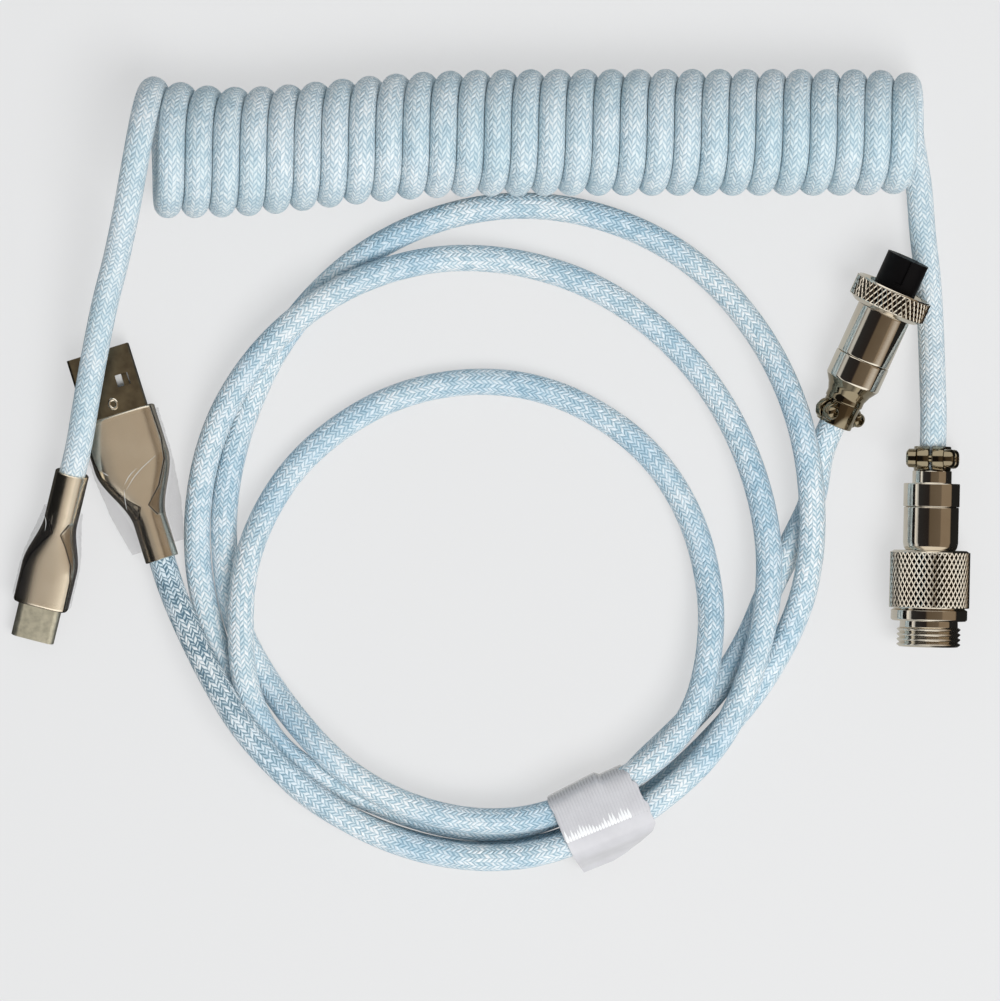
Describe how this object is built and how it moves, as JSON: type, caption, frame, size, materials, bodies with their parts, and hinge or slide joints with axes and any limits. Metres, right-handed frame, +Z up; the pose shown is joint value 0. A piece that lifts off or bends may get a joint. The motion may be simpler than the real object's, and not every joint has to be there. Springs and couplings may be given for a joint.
{
  "type": "coiled keyboard cable set",
  "caption": "Braided keyboard cable set: a coiled lead with a USB-C plug and a threaded inline socket, and a looped host lead with a USB-A plug and a coupling-nut plug.",
  "frame": {"origin": "centre of the set's bounding box at table height", "axes": "+X along the coil towards its socket end, +Y from the loops towards the coil, +Z up from the table"},
  "size_m": [0.1813, 0.1513, 0.0269],
  "materials": {
    "braid": "pale blue braided nylon sleeve in a fine herringbone",
    "nickel": "polished nickel plate, knurled on the coupling nut and the socket barrel",
    "satin_housing": "satin champagne nickel on a metal housing",
    "plug_steel": "satin steel",
    "clear_film": "thin clear protective film",
    "black_plastic": "black moulded insulator",
    "white_plastic": "white moulded plastic",
    "gold_contact": "gold-plated brass",
    "green_board": "small green circuit board",
    "wire_insulation": "soft wire insulation",
    "strap_plastic": "ribbed, cloudy translucent strap"
  },
  "bodies": {
    "cable_set": {"keyboard_tail_cord": "braid", "coil_cord": "braid", "usb_c_housing": "satin_housing", "usb_c_film": "clear_film", "usb_c_shell": "plug_steel", "usb_c_contact_block": "black_plastic", "usb_c_contacts": "gold_contact", "usb_c_board": "green_board", "usb_c_block": "white_plastic", "usb_c_wires": "wire_insulation", "host_run_cord": "braid", "host_loops": "braid", "plug_tail_cord": "braid", "usb_a_housing": "satin_housing", "usb_a_film": "clear_film", "usb_a_shell": "plug_steel", "usb_a_tongue": "white_plastic", "usb_a_contacts": "gold_contact", "usb_a_block": "white_plastic", "usb_a_wires": "wire_insulation", "plug_back_shell": "nickel", "plug_clamp_saddle": "nickel", "plug_clamp_screws": "plug_steel", "plug_body": "nickel", "snap_ring": "plug_steel", "plug_core": "black_plastic", "plug_contacts": "gold_contact", "plug_wires": "wire_insulation", "tie_strap": "strap_plastic"},
    "socket_end": {"socket_tail_cord": "braid", "socket_back_shell": "nickel", "socket_clamp_saddle": "nickel", "socket_clamp_screws": "plug_steel", "socket_sleeve": "nickel", "socket_barrel": "nickel", "socket_insulator": "black_plastic", "socket_pins": "gold_contact", "socket_wires": "wire_insulation"},
    "coupling_nut": {"coupling_nut": "nickel"}
  },
  "joints": [
    {"name": "coil_stretch", "type": "slide", "parent": "cable_set", "child": "socket_end", "axis": [1, 0, 0], "range_m": [0, 0.15], "stiffness_N_per_m": 40, "deforming": ["coil_cord"]},
    {"name": "nut_spin", "type": "hinge", "parent": "cable_set", "child": "coupling_nut", "pos_m": [0.07527, 0.03209, 0.00918], "axis": [0.4028, 0.9047, 0.1392], "continuous": true}
  ]
}
